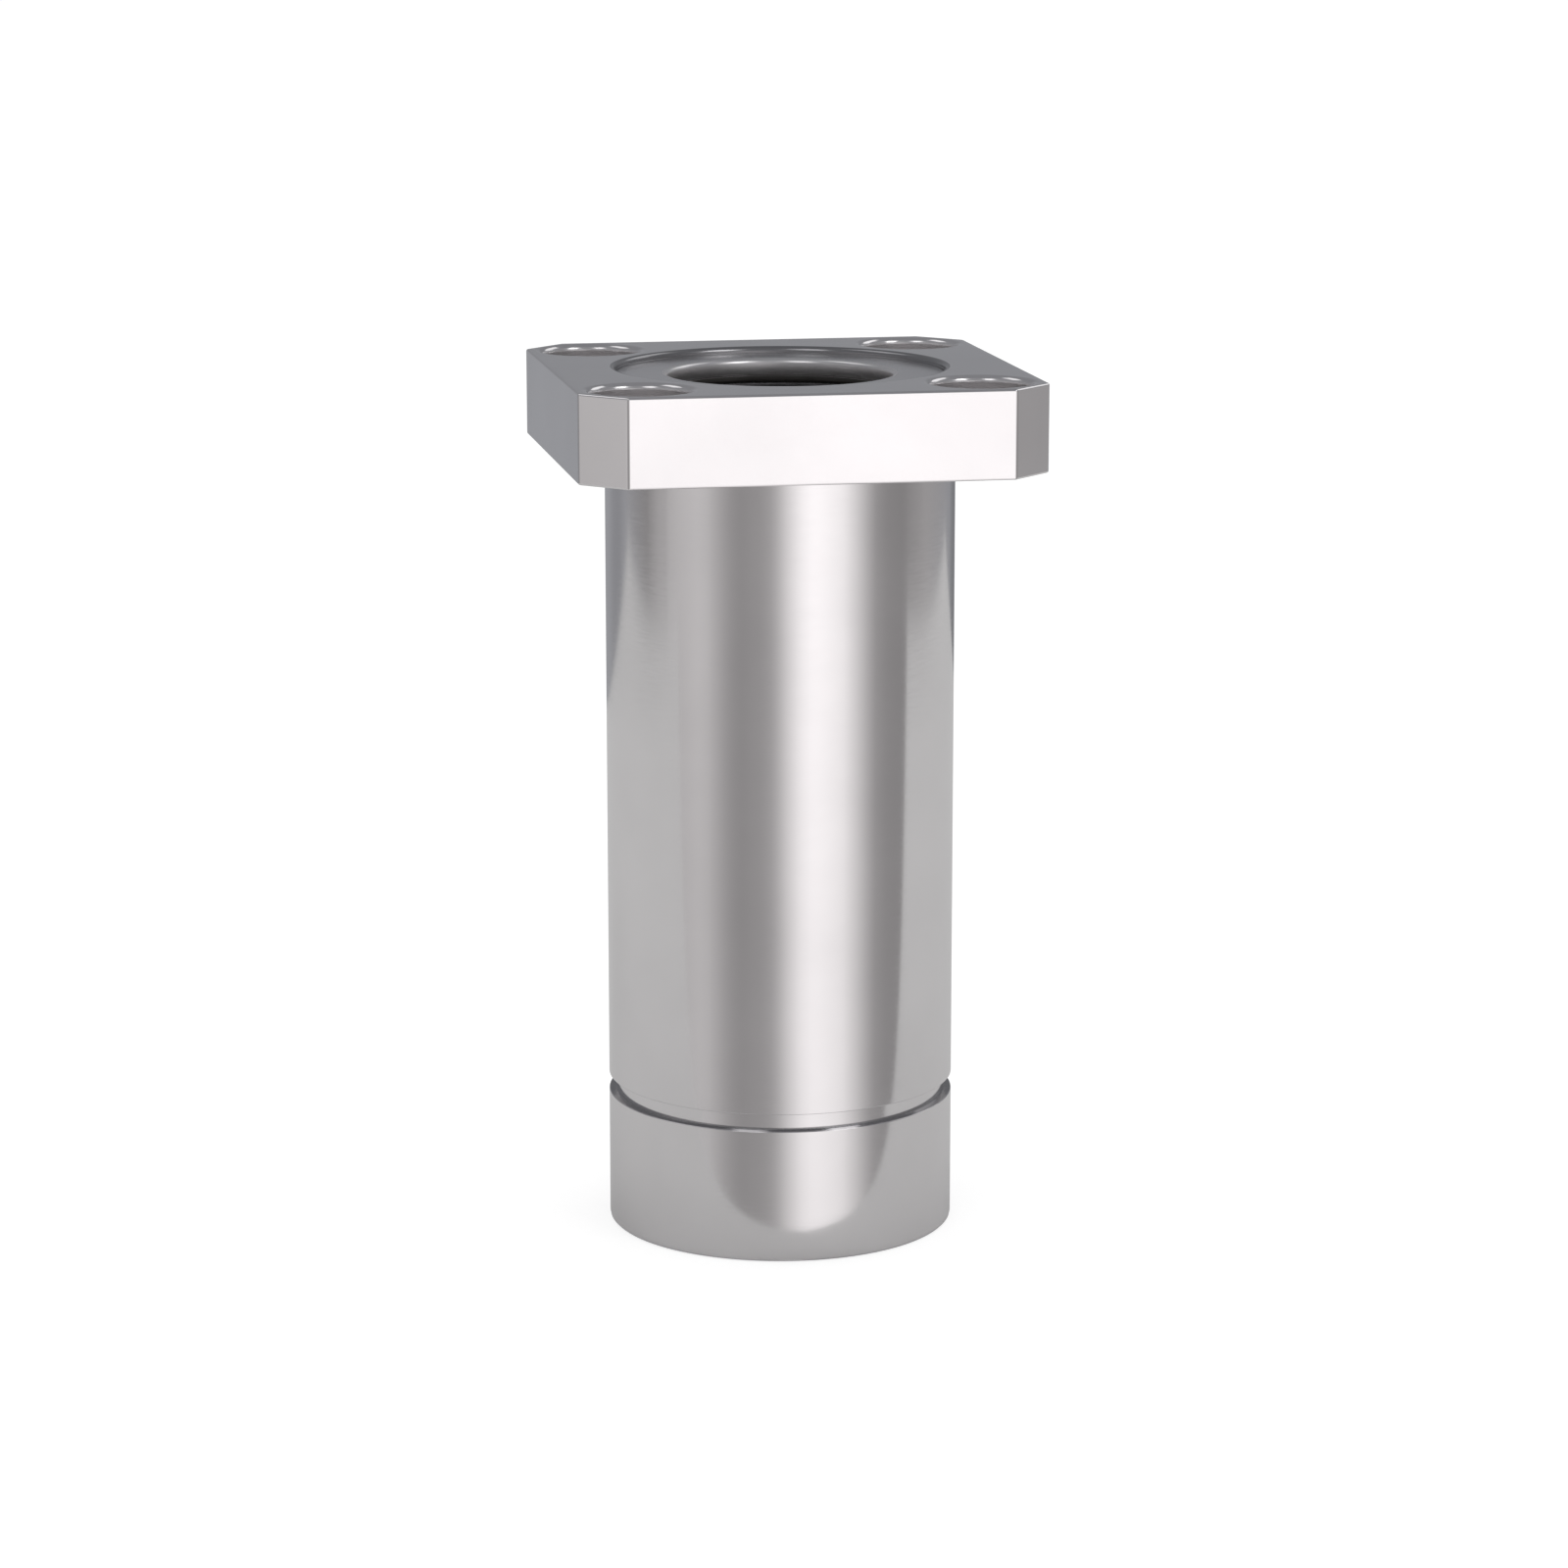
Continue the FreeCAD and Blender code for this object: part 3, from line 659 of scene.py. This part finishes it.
class BEARING_OT_seal_cases(bpy.types.Operator):
    """Make the two pressed steel cases of the seals"""

    bl_idname = "bearing.seal_cases"
    bl_label = "Seal cases"

    def execute(self, context):
        sizes = context.scene.bearing_seals
        top = context.scene.bearing_shell.flange_top
        finishes = context.scene.bearing_finishes
        materials = [finish(finishes) for finish in CASE_FINISHES]
        face = top - sizes.recess
        plate = face - sizes.plate
        foot = face - sizes.height
        collar_foot = face - sizes.collar_depth
        skirt = sizes.case_radius - sizes.skirt
        hole = sizes.collar_hole
        soft = sizes.press_round
        for end in ENDS:
            bm = bmesh.new()
            turned(
                bm,
                [
                    (hole, face, sizes.mouth_round),
                    (sizes.case_radius, face, soft),
                    (sizes.case_radius, foot, soft / 2),
                    (skirt, foot, soft / 2),
                    (skirt, plate, soft),
                    (hole + sizes.collar, plate, soft),
                    (hole + sizes.collar, collar_foot, soft / 2),
                    (hole, collar_foot, soft / 2),
                ],
                SLEEVE_SEGMENTS,
            )
            for item in bm.faces:
                in_collar = item.calc_center_median().xy.length < hole + sizes.mouth_round
                item.material_index = CASE_FINISHES.index(collar_steel if in_collar else case_steel)
            at_end(bm, end, top)
            place_piece(bm, f"{end}_pressed_case", materials, [f"{end}_seal_case"])
        return {"FINISHED"}


class BEARING_OT_seal_lips(bpy.types.Operator):
    """Make the two moulded rubber lips of the seals"""

    bl_idname = "bearing.seal_lips"
    bl_label = "Seal lips"

    def execute(self, context):
        sizes = context.scene.bearing_seals
        top = context.scene.bearing_shell.flange_top
        material = lip_rubber(context.scene.bearing_finishes)
        under_collar = top - sizes.recess - sizes.collar_depth
        under_plate = top - sizes.recess - sizes.plate
        foot = top - sizes.lip_foot
        step = sizes.collar_hole + sizes.collar + sizes.lip_gap
        soft = sizes.mould_round
        for end in ENDS:
            bm = bmesh.new()
            turned(
                bm,
                [
                    (sizes.lip_radius, under_collar, soft),
                    (step, under_collar, 0),
                    (step, under_plate, soft),
                    (sizes.pad_radius, under_plate, soft),
                    (sizes.pad_radius, foot, soft),
                    (sizes.lip_radius + sizes.lip_flare, foot, soft),
                    (sizes.lip_radius, under_collar - sizes.lip_land, soft),
                ],
                SLEEVE_SEGMENTS,
            )
            at_end(bm, end, top)
            place_piece(bm, f"{end}_moulded_lip", [material], [f"{end}_seal_lip"])
        return {"FINISHED"}


class BEARING_OT_stop_rings(bpy.types.Operator):
    """Finish the two split rings that hold the retainers in"""

    bl_idname = "bearing.stop_rings"
    bl_label = "Stop rings"

    def execute(self, context):
        material = spring_steel(context.scene.bearing_finishes)
        for end in ENDS:
            paint(f"{end}_stop_ring", material)
        return {"FINISHED"}


class BEARING_OT_retainers(bpy.types.Operator):
    """Finish the two moulded ball retainers"""

    bl_idname = "bearing.retainers"
    bl_label = "Retainers"

    def execute(self, context):
        material = retainer_resin(context.scene.bearing_finishes)
        for end in ENDS:
            paint(f"{end}_retainer", material)
        return {"FINISHED"}


class BEARING_OT_balls(bpy.types.Operator):
    """Finish the circuits of steel balls"""

    bl_idname = "bearing.balls"
    bl_label = "Ball circuits"

    def execute(self, context):
        material = ball_steel(context.scene.bearing_finishes)
        for end in ENDS:
            for order in range(1, CIRCUITS + 1):
                paint(f"{end}_ball_circuit_{order}", material)
        return {"FINISHED"}


# Plain studio that metal mirrors, as (degrees to the right of the front, level of grey), all the way round
MIRRORED_STUDIO = (
    (-90, 0.44),
    (-80, 0.5),
    (-66, 0.56),
    (-59, 0.53),
    (-48, 0.375),
    (-42, 0.31),
    (-36, 0.28),
    (-22, 0.32),
    (-16, 0.38),
    (-11, 0.51),
    (-6, 0.71),
    (4, 1.04),
    (10, 1.14),
    (16, 1.13),
    (26, 1.04),
    (32, 0.96),
    (37, 0.81),
    (49, 0.46),
    (55, 0.32),
    (64, 0.26),
    (76, 0.24),
    (100, 0.335),
    (138, 0.29),
    (147, 0.2),
    (156, 0.2),
    (165, 0.32),
    (196, 0.32),
    (207, 0.27),
    (217, 0.255),
    (227, 0.3),
    (252, 0.235),
    (264, 0.38),
)
STUDIO_START = MIRRORED_STUDIO[0][0]
FULL_TURN = 360
# Tints of those greys: warm, but cool behind the part, between these degrees
WARM, COOL = (1.02, 1.0, 1.005), (0.98, 1.0, 1.06)
COOL_FROM, COOL_TO = 130, 240
CEILING = (0.222, 0.226, 0.239)
FOREGROUND = (0.29, 0.285, 0.285)
# Shades that the studio fades to, as (shade, degrees above level where it starts, where it ends, most of it)
FADES = ((CEILING, -2, 15, 1), (FOREGROUND, -8, -18, 0.28))
# Where the soft lamps stand, and the share of the lamp power that each has
LAMPS = {
    "back_left": ((-0.47, 0.2, 0.65), 0.7),
    "back_right": ((0.52, 0.3, 0.45), 0.7),
    "front_left": ((-0.5, -0.78, 0.64), 1.3),
    "front_right": ((0.55, -0.75, 0.64), 2.2),
}
# How far the floor and the board lie below the part
SHEET_DROP = 0.01 * MM
# Greys of the floor and the board, and the light that the floor adds where the camera sees it
FLOOR_GREY, BOARD_GREY = 0.5, 0.59
FLOOR_LIFT = 0.65
# Width of the camera's frame in mm
FRAME_WIDTH = 36


def studio_world(settings):
    """White to the camera, a plain studio to mirrored and clear rays, and soft fill to matt surfaces."""
    world = bpy.data.worlds.new("plain_studio")
    world.use_nodes = True
    tree = world.node_tree
    tree.nodes.clear()
    ray = tree.nodes.new("ShaderNodeLightPath")
    place = tree.nodes.new("ShaderNodeTexCoord")
    around = tree.nodes.new("ShaderNodeTexGradient")
    around.gradient_type = "RADIAL"
    heading = tree.nodes.new("ShaderNodeSeparateXYZ")
    ramp = tree.nodes.new("ShaderNodeValToRGB")
    stops = ramp.color_ramp.elements
    while len(stops) > 1:
        stops.remove(stops[-1])
    for order, (degrees, level) in enumerate(MIRRORED_STUDIO):
        share = (degrees - STUDIO_START) / FULL_TURN
        stop = stops[0] if order == 0 else stops.new(share)
        stop.position = share
        tint = COOL if COOL_FROM < degrees < COOL_TO else WARM
        stop.color = (*(level * part for part in tint), 1)
    open_white = tree.nodes.new("ShaderNodeBackground")
    mirrored = tree.nodes.new("ShaderNodeBackground")
    fill = tree.nodes.new("ShaderNodeBackground")
    open_white.inputs["Color"].default_value = WHITE
    fill.inputs["Color"].default_value = WHITE
    fill.inputs["Strength"].default_value = settings.fill
    clear = tree.nodes.new("ShaderNodeMath")
    clear.operation = "MAXIMUM"
    inner = tree.nodes.new("ShaderNodeMixShader")
    outer = tree.nodes.new("ShaderNodeMixShader")
    output = tree.nodes.new("ShaderNodeOutputWorld")
    link = tree.links.new
    link(place.outputs["Generated"], around.inputs["Vector"])
    link(around.outputs["Fac"], ramp.inputs["Fac"])
    link(place.outputs["Generated"], heading.inputs["Vector"])
    shade = ramp.outputs["Color"]
    for far_shade, near, far, most in FADES:
        rise = tree.nodes.new("ShaderNodeMapRange")
        rise.inputs["From Min"].default_value = math.sin(math.radians(near))
        rise.inputs["From Max"].default_value = math.sin(math.radians(far))
        rise.inputs["To Max"].default_value = most
        fade = tree.nodes.new("ShaderNodeMix")
        fade.data_type = "RGBA"
        fade.inputs["B"].default_value = (*far_shade, 1)
        link(heading.outputs["Z"], rise.inputs["Value"])
        link(rise.outputs["Result"], fade.inputs["Factor"])
        link(shade, fade.inputs["A"])
        shade = fade.outputs["Result"]
    link(shade, mirrored.inputs["Color"])
    link(ray.outputs["Is Glossy Ray"], clear.inputs[0])
    link(ray.outputs["Is Transmission Ray"], clear.inputs[1])
    link(clear.outputs["Value"], inner.inputs["Fac"])
    link(fill.outputs["Background"], inner.inputs[1])
    link(mirrored.outputs["Background"], inner.inputs[2])
    link(ray.outputs["Is Camera Ray"], outer.inputs["Fac"])
    link(inner.outputs["Shader"], outer.inputs[1])
    link(open_white.outputs["Background"], outer.inputs[2])
    link(outer.outputs["Shader"], output.inputs["Surface"])
    return world


def matt_paint(name, level):
    """A matt grey, given back as new_material does."""
    material, tree, shader = new_material(name)
    shader.inputs["Base Color"].default_value = (level, level, level, 1)
    shader.inputs["Roughness"].default_value = 1
    shader.inputs["Specular IOR Level"].default_value = 0
    return material, tree, shader


def floor_paint():
    """Pale floor that looks white where no shadow falls, and clear from below."""
    material, tree, shader = matt_paint("pale_floor", FLOOR_GREY)
    shader.inputs["Emission Color"].default_value = WHITE
    ray = tree.nodes.new("ShaderNodeLightPath")
    lift = tree.nodes.new("ShaderNodeMath")
    lift.operation = "MULTIPLY"
    lift.inputs[1].default_value = FLOOR_LIFT
    tree.links.new(ray.outputs["Is Camera Ray"], lift.inputs[0])
    tree.links.new(lift.outputs["Value"], shader.inputs["Emission Strength"])
    side = tree.nodes.new("ShaderNodeNewGeometry")
    clear = tree.nodes.new("ShaderNodeBsdfTransparent")
    mix = tree.nodes.new("ShaderNodeMixShader")
    output = tree.get_output_node("ALL")
    tree.links.new(side.outputs["Backfacing"], mix.inputs["Fac"])
    tree.links.new(shader.outputs["BSDF"], mix.inputs[1])
    tree.links.new(clear.outputs["BSDF"], mix.inputs[2])
    tree.links.new(mix.outputs["Shader"], output.inputs["Surface"])
    return material


def board_paint():
    """White board, which shows only where the metal mirrors it."""
    material, _, _ = matt_paint("white_board", BOARD_GREY)
    return material


def stage_sheet(name, corners, material, hole=0):
    """A level sheet under the part with these corners, and a hole round the axis where one is asked for."""
    bm = bmesh.new()
    verts = [bm.verts.new((x, y, -SHEET_DROP)) for x, y in corners]
    if hole:
        rim = [bm.edges.new(pair) for pair in zip(verts, verts[1:] + verts[:1])]
        rim += ring(bm, hole, -SHEET_DROP, AXIS, SLEEVE_SEGMENTS)
        bmesh.ops.triangle_fill(bm, use_beauty=True, edges=rim, normal=(0, 0, 1))
    else:
        bm.faces.new(verts)
    mesh = bpy.data.meshes.new(name)
    bm.to_mesh(mesh)
    bm.free()
    mesh.materials.append(material)
    sheet = bpy.data.objects.new(name, mesh)
    bpy.context.scene.collection.objects.link(sheet)
    return sheet


class BEARING_OT_stage(bpy.types.Operator):
    """Set the pale floor, the mirrored board, the soft studio light and the camera"""

    bl_idname = "bearing.stage"
    bl_label = "Stage"

    def execute(self, context):
        scene = context.scene
        settings = scene.bearing_stage
        scene.view_settings.view_transform = "Standard"
        scene.world = studio_world(settings)

        wide = settings.floor_width / 2
        corners = [(-wide, -wide), (wide, -wide), (wide, wide), (-wide, wide)]
        floor = stage_sheet("pale_floor", corners, floor_paint())
        floor.visible_glossy = False
        floor.visible_diffuse = False
        half, back = settings.board_width / 2, settings.board_back
        middle, front = -settings.board_front, -settings.board_front - settings.board_splay
        corners = [(-half, front), (0, middle), (half, front), (half, back), (-half, back)]
        board = stage_sheet("white_board", corners, board_paint(), hole=scene.bearing_shell.sleeve_radius)
        board.visible_camera = False
        board.visible_diffuse = False
        board.visible_shadow = False

        for side, (place, share) in LAMPS.items():
            lamp = bpy.data.lights.new(f"{side}_lamp", "AREA")
            lamp.energy = settings.lamp_power * share
            lamp.size = settings.lamp_width
            soft = bpy.data.objects.new(f"{side}_lamp", lamp)
            soft.location = place
            aim = Vector((0, 0, TOP / 2)) - soft.location
            soft.rotation_euler = aim.to_track_quat("-Z", "Y").to_euler()
            soft.visible_camera = False
            scene.collection.objects.link(soft)

        lens = bpy.data.cameras.new("camera")
        lens.sensor_width = FRAME_WIDTH
        lens.lens = settings.camera_lens
        camera = bpy.data.objects.new("camera", lens)
        camera.location = settings.camera_place
        camera.rotation_euler = (math.pi / 2 - settings.camera_tilt, 0, -settings.camera_turn)
        scene.collection.objects.link(camera)
        scene.camera = camera
        return {"FINISHED"}


STEPS = (
    BEARING_OT_shell,
    BEARING_OT_seal_cases,
    BEARING_OT_seal_lips,
    BEARING_OT_stop_rings,
    BEARING_OT_retainers,
    BEARING_OT_balls,
    BEARING_OT_stage,
)
SETTINGS = {
    "bearing_shell": ShellSizes,
    "bearing_seals": SealSizes,
    "bearing_finishes": Finishes,
    "bearing_stage": StageSettings,
}


class BEARING_PT_sidebar(bpy.types.Panel):
    """Lists the pieces and the sizes and colours that they take"""

    bl_idname = "BEARING_PT_sidebar"
    bl_label = "Linear bearing"
    bl_space_type = "VIEW_3D"
    bl_region_type = "UI"
    bl_category = "Bearing"

    def draw(self, context):
        for step in STEPS:
            self.layout.operator(step.bl_idname)
        for name, group in SETTINGS.items():
            box = self.layout.box()
            for prop in group.__annotations__:
                box.prop(getattr(context.scene, name), prop)


def register():
    """Add the settings, the operators and the panel."""
    for name, group in SETTINGS.items():
        bpy.utils.register_class(group)
        setattr(bpy.types.Scene, name, PointerProperty(type=group))
    for item in (*STEPS, BEARING_PT_sidebar):
        bpy.utils.register_class(item)


def unregister():
    """Take them away again."""
    for item in reversed((*STEPS, BEARING_PT_sidebar)):
        bpy.utils.unregister_class(item)
    for name, group in reversed(SETTINGS.items()):
        delattr(bpy.types.Scene, name)
        bpy.utils.unregister_class(group)


def main():
    """Build everything once."""
    register()
    bpy.ops.bearing.shell()
    bpy.ops.bearing.seal_cases()
    bpy.ops.bearing.seal_lips()
    bpy.ops.bearing.stop_rings()
    bpy.ops.bearing.retainers()
    bpy.ops.bearing.balls()
    bpy.ops.bearing.stage()


if __name__ == "__main__":
    main()
